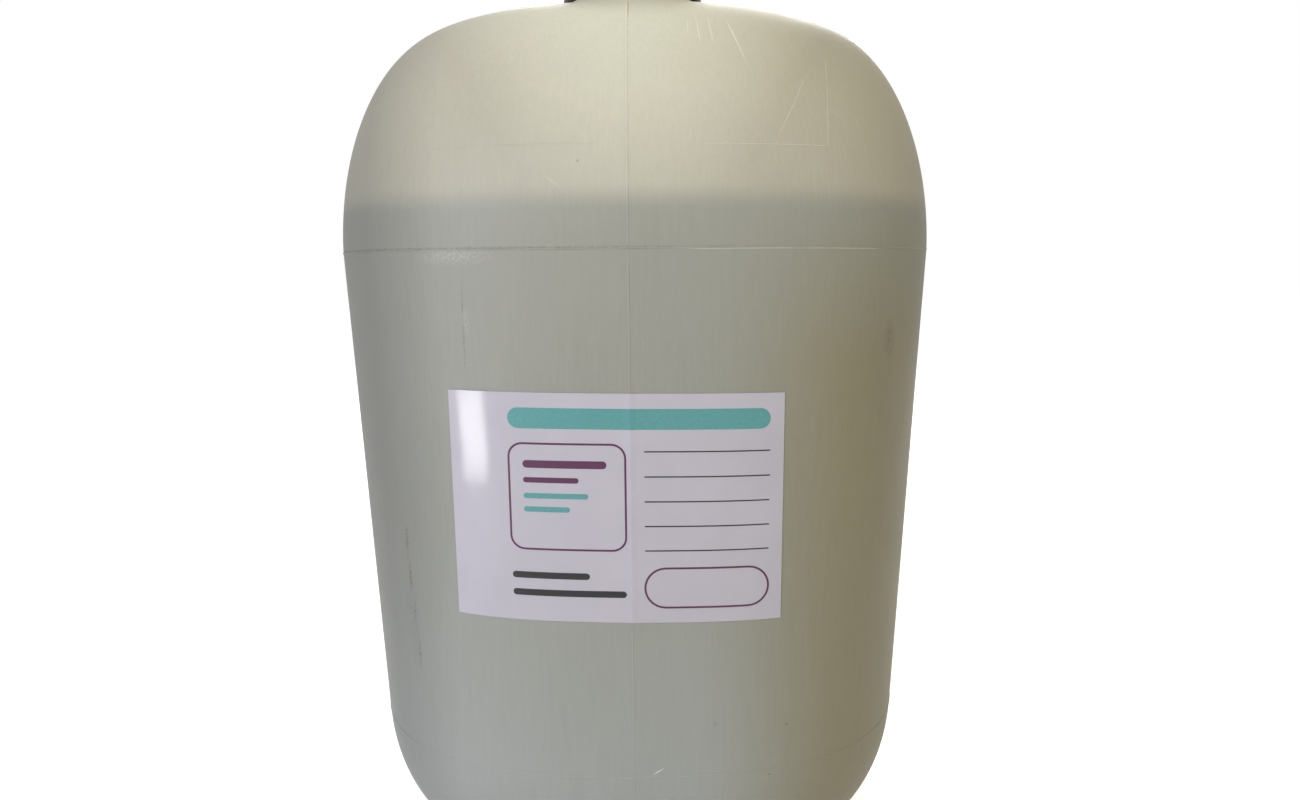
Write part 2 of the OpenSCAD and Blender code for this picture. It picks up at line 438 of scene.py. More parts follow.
# Painted light: the wall over air is paler around the neck, within 92 mm of its axis.
from_neck = add(tree, "ShaderNodeVectorMath", {
    0: place, 1: (1, 1, 0), 2: (0, -neck_y * MM, 0)}, operation="MULTIPLY_ADD")
spread = add(tree, "ShaderNodeVectorMath", {0: from_neck.outputs[0]}, operation="LENGTH")
painted_neck_light = add(tree, "ShaderNodeMapRange", {
    "Value": spread.outputs["Value"], "From Min": 92 * MM, "From Max": 55 * MM})
dry = add(tree, "ShaderNodeMix", {
    0: painted_neck_light.outputs["Result"], 6: linear("#C7C4B4"), 7: linear("#EDEEDD")}, data_type="RGBA")
behind = add(tree, "ShaderNodeMix", {
    0: over_air.outputs["Result"], 6: wetted_and_shaded.outputs[2], 7: dry.outputs[2]}, data_type="RGBA")

# In the wall: die lines, clouds, and painted shade on the front's left corner
die_place = add(tree, "ShaderNodeVectorMath", {
    0: place, 1: (1 / (1.6 * MM), 1 / (1.6 * MM), 1 / (28 * MM))}, operation="MULTIPLY")
die_lines = add(tree, "ShaderNodeTexNoise", {"Vector": die_place.outputs[0], "Scale": 1, "Detail": 2})
clouds = add(tree, "ShaderNodeTexNoise", {"Vector": place, "Scale": 1 / (90 * MM), "Detail": 3})
mottle = add(tree, "ShaderNodeMath", {0: die_lines.outputs["Fac"], 1: clouds.outputs["Fac"]}, operation="ADD")
tone = add(tree, "ShaderNodeMapRange", {
    "Value": mottle.outputs[0], "From Min": 0.6, "From Max": 1.4, "To Min": 0.96, "To Max": 1.04})
# Painted shade: the front's left corner is up to a third darker, fading out towards the back.
to_left = add(tree, "ShaderNodeMapRange", {
    "Value": axis["X"], "From Min": -82 * MM, "From Max": -118 * MM, "To Max": to_front.outputs["Result"]})
painted_left_shade = add(tree, "ShaderNodeMath", {0: to_left.outputs["Result"], 1: -0.33, 2: 1}, operation="MULTIPLY_ADD")
tone = add(tree, "ShaderNodeMath", {0: tone.outputs["Result"], 1: painted_left_shade.outputs[0]}, operation="MULTIPLY")
toned = add(tree, "ShaderNodeHueSaturation", {"Color": behind.outputs[2], "Value": tone.outputs[0]})

# On the wall: dark rubs from other goods, and pale ones where the skin is scraped, broken up into dots.
# Among the dark ones is a painted shadow along the mould line on the left, and among the pale ones a patch
# under it that is partly a scuff and partly a painted highlight.
rub_place = add(tree, "ShaderNodeVectorMath", {
    0: place, 1: (1 / (0.9 * MM), 1 / (0.9 * MM), 1 / (1.3 * MM))}, operation="MULTIPLY")
rub_specks = add(tree, "ShaderNodeTexNoise", {"Vector": rub_place.outputs[0], "Scale": 1, "Detail": 3})
rub_dots = add(tree, "ShaderNodeMapRange", {
    "Value": rub_specks.outputs["Fac"], "From Min": 0.46, "From Max": 0.6, "To Min": 0.2})
# The band 314.5 mm high, strongest on the left and fading to the right, is a painted shadow along the mould
# line.
# Middle and reach of each rub in millimetres, and its strength
dark_rubs_and_shade = [
    ((-106.3, -112.5, 181), (1.3, 4, 11), 0.6), ((-105.5, -112, 164), (1.3, 4, 11), 0.6),
    ((-104.3, -111.5, 146), (1.3, 4, 11), 0.55), ((-102.8, -111.3, 127), (1.3, 4, 11), 0.45),
    ((-105.5, -110.5, 143), (6, 14, 26), 0.14), ((114.6, -111.5, 273), (4, 10, 10), 0.4),
    ((-71.8, -136.2, 282), (0.6, 5, 26), 0.4), ((68.4, -128, 98.2), (0.9, 2, 0.9), 0.8),
    ((34.8, -134.9, 102), (1.6, 3, 1.6), 0.3), ((60.2, -129.2, 74.3), (0.7, 2, 0.7), 0.6),
    ((-22, -142, 349.3), (0.8, 2, 0.8), 0.9), ((-150, 0, 314.5), (260, 400, 0.8), 0.5),
    ((137, 50, 240), (12, 30, 4), 0.35), ((-40, 138, 160), (45, 16, 5), 0.35)]
# The patch under the mould line on the front's left, at 311 mm, is partly a pale scuff and partly a painted
# highlight.
pale_rubs_and_highlight = [
    ((-75, -136, 311.2), (26, 10, 4), 0.4), ((-70.5, -136.4, 284), (2.5, 6, 7), 0.3),
    ((60, 128, 310.5), (16, 10, 4), 0.4), ((0, 0, 0), (150, 145, 4), 0.4)]
marked = toned.outputs["Color"]
for colour, rubs in (("#55544C", dark_rubs_and_shade), ("#D0D1C8", pale_rubs_and_highlight)):
    rubbed = None
    for middle, reach, strength in rubs:
        off = add(tree, "ShaderNodeVectorMath", {0: place, 1: [m * MM for m in middle]}, operation="SUBTRACT")
        share = add(tree, "ShaderNodeVectorMath", {
            0: off.outputs[0], 1: [r * MM for r in reach]}, operation="DIVIDE")
        far = add(tree, "ShaderNodeVectorMath", {0: share.outputs[0]}, operation="LENGTH")
        spot = add(tree, "ShaderNodeMapRange", {
            "Value": far.outputs["Value"], "From Min": 1, "From Max": 0.3, "To Max": strength})
        strongest = spot.outputs["Result"]
        if rubbed is not None:
            strongest = add(tree, "ShaderNodeMath", {0: rubbed, 1: strongest}, operation="MAXIMUM").outputs[0]
        rubbed = strongest
    rub = add(tree, "ShaderNodeMath", {0: rubbed, 1: rub_dots.outputs["Result"]}, operation="MULTIPLY")
    marked = add(tree, "ShaderNodeMix", {
        0: rub.outputs[0], 6: marked, 7: linear(colour)}, data_type="RGBA").outputs[2]

# The grain and gloss of the skin
grain = add(tree, "ShaderNodeTexNoise", {"Vector": place, "Scale": 1 / (1.6 * MM), "Detail": 2})
relief = add(tree, "ShaderNodeMath", {0: die_lines.outputs["Fac"], 1: grain.outputs["Fac"]}, operation="ADD")
bump = add(tree, "ShaderNodeBump", {"Height": relief.outputs[0], "Strength": 0.12, "Distance": 0.5 * MM})
gloss = add(tree, "ShaderNodeMapRange", {
    "Value": clouds.outputs["Fac"], "From Min": 0.3, "From Max": 0.7, "To Min": 0.42, "To Max": 0.54})
surface = add(tree, "ShaderNodeBsdfPrincipled", {
    "Base Color": marked, "Roughness": gloss.outputs["Result"], "Normal": bump.outputs["Normal"],
    "IOR": 1.54, "Specular IOR Level": 0.3, "Subsurface Weight": 0.2, "Subsurface Radius": (1, 0.9, 0.7),
    "Subsurface Scale": 5 * MM})
add(tree, "ShaderNodeOutputMaterial", {"Surface": surface.outputs["BSDF"]})
bottle.data.materials.append(polyethylene)
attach(bottle, "can")
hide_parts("bottle")

# Mould lines
# Thin ridges of the same plastic, where the mould's halves, its loose shoulder and foot rings and its
# inserts met. The widest is the weld under the base, where the mould pinched the hot tube shut.
foot_line_z = 76.8
body_mid_z = 213
weld_half = 64
below_base = 20


def landed(starts, aim):
    """Where lines from outside the can first meet it, each going as far at a time as the field is clear."""
    most_steps = 80
    stride = 0.8
    touching = 1e-4
    points = starts
    for _ in range(most_steps):
        ahead = stride * can(*points.T)
        points = points + aim * ahead[:, None]
        if np.abs(ahead).max() < touching:
            break
    return points


def fan(middle_y, middle_z, first_deg, last_deg, count):
    """Starts and aims towards a middle, in the plane where the mould's halves part, from +Y over +Z."""
    clear_r = 320
    turns = np.radians(np.linspace(first_deg, last_deg, count))
    aim = np.stack([0 * turns, -np.cos(turns), -np.sin(turns)], 1)
    return np.array([parting_x, middle_y, middle_z]) - clear_r * aim, aim


def level_ring(z, count):
    """Starts and aims round the can at one height, from its back and nearly all the way round to it."""
    clear_r = 190
    turns = math.pi / 2 + 2 * math.pi * np.arange(count) / count
    aim = np.stack([-np.cos(turns), -np.sin(turns), 0 * turns], 1)
    return np.array([0, 0, z]) - clear_r * aim, aim


def onto(path, way):
    """Starts and aims at places across and up the front, where way is 1, or the back, where it is -1."""
    clear_y = 180
    x, z = np.array(path, float).T
    return np.stack([x, 0 * x - clear_y * way, z], 1), np.array([0, way, 0])


def traced(corners, step):
    """Places along a path of straight runs."""
    places = [corners[0]]
    for a, b in zip(corners, corners[1:]):
        parts = max(1, round(math.dist(a, b) / step))
        places += [tuple(np.array(a) + (np.array(b) - a) * k / parts) for k in range(1, parts + 1)]
    return places


def bead(starts, aim, width, tall, ragged):
    """Points and faces of a ridge along the can, a little ragged in height, that runs out at its ends."""
    points = landed(starts, aim)
    normal = slope(can, points)
    normal /= np.linalg.norm(normal, axis=1)[:, None]
    ahead = np.gradient(points, axis=0)
    side = np.cross(ahead, normal)
    side /= np.linalg.norm(side, axis=1)[:, None]
    run = np.cumsum(np.linalg.norm(ahead, axis=1))
    # The height wavers over runs of about 20, 48 and 145 mm
    rough = 1 + ragged * (np.sin(run / 3.1) * np.sin(run / 7.7 + 1) + 0.5 * np.sin(run / 23))
    run_out = min(5, run[-1] / 4)
    ends = np.clip(np.minimum(run - run[0], run[-1] - run) / run_out, 0.15, 1)
    # How far across and up each corner of the section lies, as shares of the width and height, with its feet
    # sunk in the wall
    section = ((-0.5, -0.4), (-0.35, 0.3), (-0.15, 0.85), (0, 1), (0.15, 0.85), (0.35, 0.3), (0.5, -0.4))
    rings = []
    for across, up in section:
        sideways = width * across * ends
        outwards = tall * ends * (up * rough if up > 0 else up)
        rings.append(points + side * sideways[:, None] + normal * outwards[:, None])
    return swept(np.stack(rings, 1), False)


def joined(parts):
    """Points and faces of several closed forms as one mesh."""
    faces = []
    count = 0
    for points, shapes in parts:
        faces += [[i + count for i in f] for f in shapes]
        count += len(points)
    return np.concatenate([points for points, _ in parts]), faces


# Where each ridge runs, its width and height, and how ragged it is
beads = [
    bead(*fan(0, body_mid_z, 116.5, 246, 180), 0.9, 0.09, 0.3),
    bead(*fan(0, body_mid_z, 116.5, 121, 16), 1.3, 0.5, 0.3),
    bead(*fan(0, body_mid_z, -66, 56, 160), 0.9, 0.09, 0.3),
    bead(*fan(grip_y, grip_z - bend_r, 0, 160, 120), 1.2, 0.25, 0.3),
    bead(*level_ring(mould_z, 600), 1.1, 0.26, 0.6),
    bead(*level_ring(foot_line_z, 400), 0.9, 0.16, 0.4),
    bead(*onto(traced([(-13, 356), (-83, 356), (-84, 396)], 3), 1), 0.8, 0.12, 0.4)]
weld_y = np.linspace(-weld_half, weld_half, 60)
weld_starts = np.stack([0 * weld_y + parting_x, weld_y, 0 * weld_y - below_base], 1)
beads.append(bead(weld_starts, np.array([0, 0, 1]), 3, 1.4, 0.3))
mould_lines = solid("mould_lines", joined(beads))
smooth(mould_lines, 60)
# The flash is too thin to glow, so it keeps the wall's colour without its scatter.
flash = polyethylene.copy()
flash.name = "natural_polyethylene_flash"
flash.node_tree.nodes["Principled BSDF"].inputs["Subsurface Weight"].default_value = 0
mould_lines.data.materials.append(flash)
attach(mould_lines, "can")

# Scratches
# Burrs that handling has raised on the shell: streaks and a long scrape on the shoulder, nicks at the mould
# lines. They are the shell's own plastic, about a tenth of a millimetre high.
# Places across and up along each, 1 for the front or -1 for the back, width and height
scratches = [
    ([(22, 313.5), (64, 313.6), (108, 313.4)], 1, 0.35, 0.09),
    ([(23, 355.8), (82, 355.8), (83.8, 396)], 1, 0.35, 0.08),
    ([(37.8, 356.3), (40.2, 356.3)], 1, 1.1, 0.35),
    ([(58.6, 356.5), (61, 356.5)], 1, 1.1, 0.35),
    ([(74.3, 387), (67.6, 372.8), (63.5, 365), (59.8, 358)], 1, 0.55, 0.1),
    ([(-36.4, 344), (-29, 338.6)], 1, 0.6, 0.1),
    ([(27.3, 414.3), (28.2, 406), (29.2, 397.5)], 1, 0.9, 0.06),
    ([(23.8, 414.8), (24, 402)], 1, 0.7, 0.04),
    ([(40.4, 410.5), (44.5, 399.5), (48.2, 389.5)], 1, 1.2, 0.04),
    ([(32.5, 413), (34.4, 398)], 1, 0.9, 0.04),
    ([(6.7, 78.1), (11.7, 81.3)], 1, 0.8, 0.2),
    ([(-60, 250), (-48, 236)], -1, 0.6, 0.12),
    ([(35, 180), (62, 171)], -1, 0.6, 0.12),
    ([(-20, 96), (-14, 84)], -1, 0.7, 0.14)]
burr_step = 1.5
burr_ragged = 0.5
burrs = solid("scratches", joined([
    bead(*onto(traced(path, burr_step), way), width, tall, burr_ragged)
    for path, way, width, tall in scratches]))
smooth(burrs, 60)
# Polyethylene whitens where it is stretched or scraped: a chalky line with no gloss, whiter higher up,
# from 384 to 404 mm.
whitened, tree = new_material("stress_whitened_polyethylene")
place = add(tree, "ShaderNodeTexCoord").outputs["Object"]
chalk = add(tree, "ShaderNodeTexNoise", {"Vector": place, "Scale": 1 / (1.2 * MM), "Detail": 2})
pale = add(tree, "ShaderNodeMix", {
    0: chalk.outputs["Fac"], 6: linear("#C9C7B6"), 7: linear("#E2E0D0")}, data_type="RGBA")
height = add(tree, "ShaderNodeSeparateXYZ", {"Vector": place}).outputs["Z"]
higher_up = add(tree, "ShaderNodeMapRange", {"Value": height, "From Min": 384 * MM, "From Max": 404 * MM})
whiter = add(tree, "ShaderNodeMix", {
    0: higher_up.outputs["Result"], 6: pale.outputs[2], 7: linear("#F0F1E1")}, data_type="RGBA")
surface = add(tree, "ShaderNodeBsdfPrincipled", {
    "Base Color": whiter.outputs[2], "Roughness": 0.7, "IOR": 1.54})
add(tree, "ShaderNodeOutputMaterial", {"Surface": surface.outputs["BSDF"]})
burrs.data.materials.append(whitened)
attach(burrs, "can")

# Liquid
# The contents, a clear colourless liquid up to the level line, with a rim where it creeps up the wall.
# It fills the inside of the shell and wets it all round, drawn here a hair clear of the wall.
liquid_clear = 0.3
liquid_step = 5
creep_h = 1.6
creep_reach = 3
headroom = (0, 0, 90)


def contents(x, y, z):
    """The inside of the wall up to the level, with the liquid's edge drawn up a little."""
    within = cavity(x, y, z) + liquid_clear
    creep = creep_h * np.exp(np.minimum(within, 0) / creep_reach)
    return np.maximum(within, z - level_z / MM - creep)


liquid = solid("liquid_fill", skin(contents, skin_low, skin_high - headroom, liquid_step))
smooth(liquid, 40)
# A clear spirit: colourless, so it shows only its gloss and what lies behind it.
clear_liquid, tree = new_material("clear_liquid")
place = add(tree, "ShaderNodeTexCoord").outputs["Object"]
ripple = add(tree, "ShaderNodeTexNoise", {"Vector": place, "Scale": 1 / (60 * MM), "Detail": 1})
bump = add(tree, "ShaderNodeBump", {"Height": ripple.outputs["Fac"], "Strength": 0.1, "Distance": 1 * MM})
surface = add(tree, "ShaderNodeBsdfPrincipled", {
    "Base Color": linear("#EEF2F0"), "Roughness": 0.02, "IOR": 1.36, "Transmission Weight": 1,
    "Normal": bump.outputs["Normal"]})
add(tree, "ShaderNodeOutputMaterial", {"Surface": surface.outputs["BSDF"]})
liquid.data.materials.append(clear_liquid)
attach(liquid, "can")
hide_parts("liquid")

# Label
# A sheet of gloss-coated paper with an adhesive back, smoothed on by hand a little askew.
# It follows the front of the can, and the parting line shows through it as a soft ridge.
label_low, label_high = (np.array(corner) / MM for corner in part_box("label"))
label_w = label_high[0] - label_low[0]
label_lean = math.tan(math.radians(0.7))
label_h = label_high[2] - label_low[2] - label_w * label_lean
label_x, _, label_z = (label_low + label_high) / 2
label_back = 0.06
label_face = 0.42
label_clear = 2
label_step = 2
label_rows = 27
ridge_h = 0.2
ridge_reach = 1.6
ridge_step = 0.5
ridge_half = 5


def on_label(u, v):
    """Places on the can's front, u across and v up from the label's middle, and the way out of the wall."""
    x = label_x + u
    starts = np.stack([x, 0 * x - half_d - label_clear, label_z - u * label_lean + v], 1)
    points = landed(starts, np.array([0, 1, 0]))
    out = slope(can, points)
    out /= np.linalg.norm(out, axis=1)[:, None]
    ridge = ridge_h * np.exp(-((x - parting_x) / ridge_reach) ** 2)
    return points + out * ridge[:, None], out


ridge_u = parting_x - label_x
columns = np.concatenate([
    np.arange(-label_w / 2, ridge_u - ridge_half, label_step),
    np.arange(ridge_u - ridge_half, ridge_u + ridge_half, ridge_step),
    np.arange(ridge_u + ridge_half, label_w / 2, label_step), [label_w / 2]])
rows = np.linspace(-label_h / 2, label_h / 2, label_rows)
points, out = on_label(np.repeat(columns, len(rows)), np.tile(rows, len(columns)))
face = (points + out * label_face).reshape(len(columns), len(rows), 3)
back = (points + out * label_back).reshape(len(columns), len(rows), 3)
label = solid("label_sheet", swept(np.concatenate([face, back[:, ::-1]], 1), False))
smooth(label, 40)
# Gloss-coated paper: white with a cool tint, a clear shine, and the faint dents of the wall under it.
coated_paper, tree = new_material("gloss_coated_paper")
place = add(tree, "ShaderNodeTexCoord").outputs["Object"]
dents = add(tree, "ShaderNodeTexNoise", {"Vector": place, "Scale": 1 / (22 * MM), "Detail": 2})
fibre = add(tree, "ShaderNodeTexNoise", {"Vector": place, "Scale": 1 / (1.5 * MM), "Detail": 3})
tint = add(tree, "ShaderNodeMix", {
    0: dents.outputs["Fac"], 6: linear("#BEBBC8"), 7: linear("#C8C5D2")}, data_type="RGBA")
relief = add(tree, "ShaderNodeMath", {
    0: fibre.outputs["Fac"], 1: 0.1, 2: dents.outputs["Fac"]}, operation="MULTIPLY_ADD")
bump = add(tree, "ShaderNodeBump", {"Height": relief.outputs[0], "Strength": 0.25, "Distance": 0.6 * MM})
gloss = add(tree, "ShaderNodeMapRange", {
    "Value": fibre.outputs["Fac"], "From Min": 0.3, "From Max": 0.7, "To Min": 0.1, "To Max": 0.15})
surface = add(tree, "ShaderNodeBsdfPrincipled", {
    "Base Color": tint.outputs[2], "Roughness": gloss.outputs["Result"], "IOR": 1.5,
    "Normal": bump.outputs["Normal"]})
add(tree, "ShaderNodeOutputMaterial", {"Surface": surface.outputs["BSDF"]})
label.data.materials.append(coated_paper)
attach(label, "can")
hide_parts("label")

# Label print
# Plain bars, write-in lines and rounded frames in toner on the label, a layer that can just be felt.
# It says nothing: the fields are blank, for whoever uses the can.
ink_low = label_face - 0.05
ink_high = label_face + 0.03
ink_step = 0.5


def inked(edge_a, edge_b, closed):
    """Points and faces of a layer of ink between two rows of places on the label."""
    points, out = on_label(*np.concatenate([edge_a, edge_b]).T)
    high_a, high_b = np.split(points + out * ink_high, 2)
    low_a, low_b = np.split(points + out * ink_low, 2)
    return swept(np.stack([high_a, high_b, low_b, low_a], 1), closed)


def bar(left, right, v, tall, radius):
    """A bar with rounded ends."""
    ends = radius * (1 - np.cos(np.linspace(0, math.pi / 2, 7)))
    straight = np.arange(left + radius, right - radius, ink_step)[1:]
    u = np.concatenate([left + ends, straight, right - ends[::-1]])
    short = np.maximum(radius - np.minimum(u - left, right - u), 0)
    half = np.maximum(tall / 2 - radius + np.sqrt(np.maximum(radius ** 2 - short ** 2, 0)), 0.01)
    return inked(np.stack([u, v + half], 1), np.stack([u, v - half], 1), False)


def rounded_frame(left, right, low, high, radius, line):
    """A line round a blank field, with rounded corners."""
    path = []
    for u, v, first in ((right - radius, high - radius, 0), (left + radius, high - radius, 90),
                        (left + radius, low + radius, 180), (right - radius, low + radius, 270)):
        bend = np.radians(np.linspace(first, first + 90, 8))
        path += [(u + radius * math.cos(t), v + radius * math.sin(t)) for t in bend]
    path = np.array(traced(path + path[:1], ink_step)[:-1])
    ahead = np.roll(path, -1, 0) - np.roll(path, 1, 0)
    out = np.stack([ahead[:, 1], -ahead[:, 0]], 1) * line / 2 / np.linalg.norm(ahead, axis=1)[:, None]
    return inked(path + out, path - out, True)


# Toner: flat, slightly glossy colour over the paper's own shine, with the faintest speckle.
printed = {
    "teal": ("#5C9FA2", [bar(-46, 66, 40, 9, 4.5), bar(-40, -12, 6, 2.4, 1.2), bar(-40, -20, 0, 2.4, 1.2)]),
    "purple": ("#5A2A50", [
        rounded_frame(-46, 4, -18, 29, 6, 0.9), rounded_frame(12, 66, -44, -26, 9, 0.9),
        bar(-40, -4, 20, 3.4, 1.7), bar(-40, -16, 13, 2.4, 1.2)]),
    "charcoal": ("#26262A", [bar(12, 66, v, 0.6, 0.3) for v in (26, 15, 4, -7, -18)]
                 + [bar(-46, -12, -30, 3, 1.5), bar(-46, 4, -38, 3, 1.5)])}
for ink_name, (colour, parts) in printed.items():
    ink = solid(f"label_print_{ink_name}", joined(parts))
    toner, tree = new_material(f"toner_{ink_name}")
    place = add(tree, "ShaderNodeTexCoord").outputs["Object"]
    speckle = add(tree, "ShaderNodeTexNoise", {"Vector": place, "Scale": 1 / (0.8 * MM), "Detail": 2})
    density = add(tree, "ShaderNodeMapRange", {
        "Value": speckle.outputs["Fac"], "From Min": 0.3, "From Max": 0.7, "To Min": 0.92, "To Max": 1.08})
    shade = add(tree, "ShaderNodeHueSaturation", {
        "Color": linear(colour), "Value": density.outputs["Result"]})
    surface = add(tree, "ShaderNodeBsdfPrincipled", {
        "Base Color": shade.outputs["Color"], "Roughness": 0.3, "IOR": 1.5})
    add(tree, "ShaderNodeOutputMaterial", {"Surface": surface.outputs["BSDF"]})
    ink.data.materials.append(toner)
    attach(ink, "can")

# Tamper ring
# The polypropylene band that was moulded onto the cap's foot. The first opening broke its thin bridges, whose
# stubs are left. It hangs loose on the neck between the boss and the bead.
ring_low, ring_high = (np.array(corner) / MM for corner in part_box("tamper_ring"))
ring_r = ring_high[0]
ring_lip_r = neck_r + 1.3
ring_in_r = bead_r + 0.5
ring_foot_z = ring_low[2]
ring_top_z = ring_high[2]
ring_outline = [
    (ring_lip_r + 0.2, ring_foot_z), (ring_r - 0.5, ring_foot_z), (ring_r - 0.1, ring_foot_z + 0.2),
    (ring_r, ring_foot_z + 0.6), (ring_r, ring_top_z - 0.6), (ring_r - 0.15, ring_top_z - 0.15),
    (ring_r - 0.5, ring_top_z), (ring_in_r + 0.3, ring_top_z), (ring_in_r, ring_top_z - 0.3),
    (ring_in_r, ring_foot_z + 1.8), (ring_lip_r, ring_foot_z + 0.9)]
ring_steps = 144
bridge_count = 16
stub_in = 0.65
stub_sink = 0.2
stub_h = 0.35
stub_uneven = 0.15
stubs = []
for k in range(bridge_count):
    turn = 2 * math.pi * (k + 0.5) / bridge_count
    out = np.array([math.cos(turn), math.sin(turn), 0])
    side = np.array([-math.sin(turn), math.cos(turn), 0])
    foot = np.array([0, neck_y, ring_top_z - stub_sink]) + out * (ring_r - stub_in)
    tall = stub_h + stub_uneven * math.sin(5 * k)
    rings = [
        [foot + out * (x * size) + side * (y * size) + np.array([0, 0, up])
         for x, y in ((0.4, 0.7), (-0.4, 0.7), (-0.4, -0.7), (0.4, -0.7))]
        for up, size in ((0, 1), (tall, 0.75), (tall + 0.15, 0.4))]
    stubs.append(swept(rings, False))
ring = solid("tamper_ring_band", turned(ring_outline, ring_steps))
fused(ring, *[("UNION", solid("stub", stub)) for stub in stubs])
smooth(ring, 35)
# Polypropylene, injection-moulded from a charcoal batch: an even satin skin with a fine spark texture.
polypropylene, tree = new_material("charcoal_polypropylene_moulded")
place = add(tree, "ShaderNodeTexCoord").outputs["Object"]
spark = add(tree, "ShaderNodeTexNoise", {"Vector": place, "Scale": 1 / (0.7 * MM), "Detail": 3})
flow = add(tree, "ShaderNodeTexNoise", {"Vector": place, "Scale": 1 / (18 * MM), "Detail": 2})
shade = add(tree, "ShaderNodeMix", {
    0: flow.outputs["Fac"], 6: linear("#262322"), 7: linear("#332F2D")}, data_type="RGBA")
gloss = add(tree, "ShaderNodeMapRange", {
    "Value": flow.outputs["Fac"], "From Min": 0.3, "From Max": 0.7, "To Min": 0.36, "To Max": 0.48})
bump = add(tree, "ShaderNodeBump", {"Height": spark.outputs["Fac"], "Strength": 0.15, "Distance": 0.15 * MM})
surface = add(tree, "ShaderNodeBsdfPrincipled", {
    "Base Color": shade.outputs[2], "Roughness": gloss.outputs["Result"], "IOR": 1.49,
    "Normal": bump.outputs["Normal"]})
add(tree, "ShaderNodeOutputMaterial", {"Surface": surface.outputs["BSDF"]})
ring.data.materials.append(polypropylene)
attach(ring, "loose_ring")
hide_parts("tamper_ring")

# Cap liner
# A disc punched from white foamed polyethylene sheet, which the cap presses on the rim of the neck.
# The rim has left a shallow ring in its underside.
liner_low, liner_high = (np.array(corner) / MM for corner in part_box("cap_liner"))
liner_r = liner_high[0]
liner_z = liner_low[2]
under_z = liner_high[2]
rim_r = (bore_r + neck_r) / 2
liner_outline = [
    (0, liner_z), (bore_r - 0.4, liner_z), (bore_r + 0.2, liner_z + 0.25), (rim_r, liner_z + 0.35),
    (neck_r - 0.2, liner_z + 0.25), (neck_r + 0.4, liner_z), (liner_r - 0.2, liner_z),
    (liner_r, liner_z + 0.3), (liner_r, under_z - 0.3), (liner_r - 0.2, under_z), (0, under_z)]
liner = solid("cap_liner_disc", turned(liner_outline, neck_steps))
smooth(liner, 40)
# Foamed polyethylene: matt white, with closed cells about half a millimetre across that pit the surface.
foam, tree = new_material("foamed_polyethylene_sheet")
place = add(tree, "ShaderNodeTexCoord").outputs["Object"]
cells = add(tree, "ShaderNodeTexVoronoi", {"Vector": place, "Scale": 1 / (0.6 * MM)})
pale = add(tree, "ShaderNodeMix", {
    0: cells.outputs["Distance"], 6: linear("#C9C9C4"), 7: linear("#DEDEDA")}, data_type="RGBA")
bump = add(tree, "ShaderNodeBump", {
    "Height": cells.outputs["Distance"], "Strength": 0.3, "Distance": 0.2 * MM})
surface = add(tree, "ShaderNodeBsdfPrincipled", {
    "Base Color": pale.outputs[2], "Roughness": 0.75, "IOR": 1.5, "Normal": bump.outputs["Normal"]})
add(tree, "ShaderNodeOutputMaterial", {"Surface": surface.outputs["BSDF"]})
liner.data.materials.append(foam)
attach(liner, "seal")
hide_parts("cap_liner")

# Cap
# A ribbed screw cap of the ring's polypropylene, injection-moulded in one piece with its inside thread.
# It screws down over the tamper ring until its top presses the liner on the rim.
rib_count = 60
rib_h = 1
rib_fullness = 0.8
steps_per_rib = 10
cap_r = cap_high[0] - rib_h
skirt_r = ring_in_r - 0.8
cap_z = cap_low[2]
cap_top_z = cap_high[2]
# Radius, height, and how far the ribs stand out there
cap_outline = [
    (0, under_z, 0), (skirt_r - 0.8, under_z, 0), (skirt_r, under_z - 0.8, 0), (skirt_r, cap_z + 0.8, 0),
    (skirt_r + 0.3, cap_z + 0.2, 0), (skirt_r + 0.7, cap_z, 0), (cap_r + 0.2, cap_z, 0),
    (cap_r + 0.55, cap_z + 0.15, 0), (cap_r + 0.7, cap_z + 0.5, 0), (cap_r + 0.7, cap_z + 1.5, 0),
    (cap_r + 0.5, cap_z + 1.9, 0.2), (cap_r, cap_z + 2.4, 0.8), (cap_r, cap_z + 3, 1),
    (cap_r, cap_top_z - 3, 1), (cap_r, cap_top_z - 2.2, 0.85), (cap_r, cap_top_z - 1.7, 0.4),
    (cap_r, cap_top_z - 1.3, 0), (cap_r - 0.25, cap_top_z - 0.6, 0),
    (cap_r - 0.8, cap_top_z - 0.15, 0), (cap_r - 1.6, cap_top_z, 0), (cap_r - 3.4, cap_top_z, 0),
    (cap_r - 3.9, cap_top_z - 0.2, 0), (cap_r - 4.2, cap_top_z - 0.6, 0), (cap_r - 4.8, cap_top_z - 0.75, 0),
    (14, cap_top_z - 0.75, 0), (4, cap_top_z - 0.7, 0), (1.8, cap_top_z - 0.5, 0), (0, cap_top_z - 0.45, 0)]
steps = rib_count * steps_per_rib
rings = []
for k in range(steps):
    turn = 2 * math.pi * k / steps
    rib = rib_h * (0.5 + 0.5 * math.cos(rib_count * turn)) ** rib_fullness
    rings.append([
        ((r + rib * out) * math.cos(turn), neck_y + (r + rib * out) * math.sin(turn), z)
        for r, z, out in cap_outline])
cap = solid("screw_cap_shell", swept(rings, True))
cap_ridge = thread(
    root_r=skirt_r + 0.6, root_w=2.7, crest_r=neck_r + 0.5, crest_w=1.2,
    start_z=thread_z + pitch / 2, turns=1.5)
fused(cap, ("UNION", solid("cap_thread", cap_ridge)))
smooth(cap, 35)
cap.data.materials.append(polypropylene)
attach(cap, "screw_cap")
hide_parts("cap")

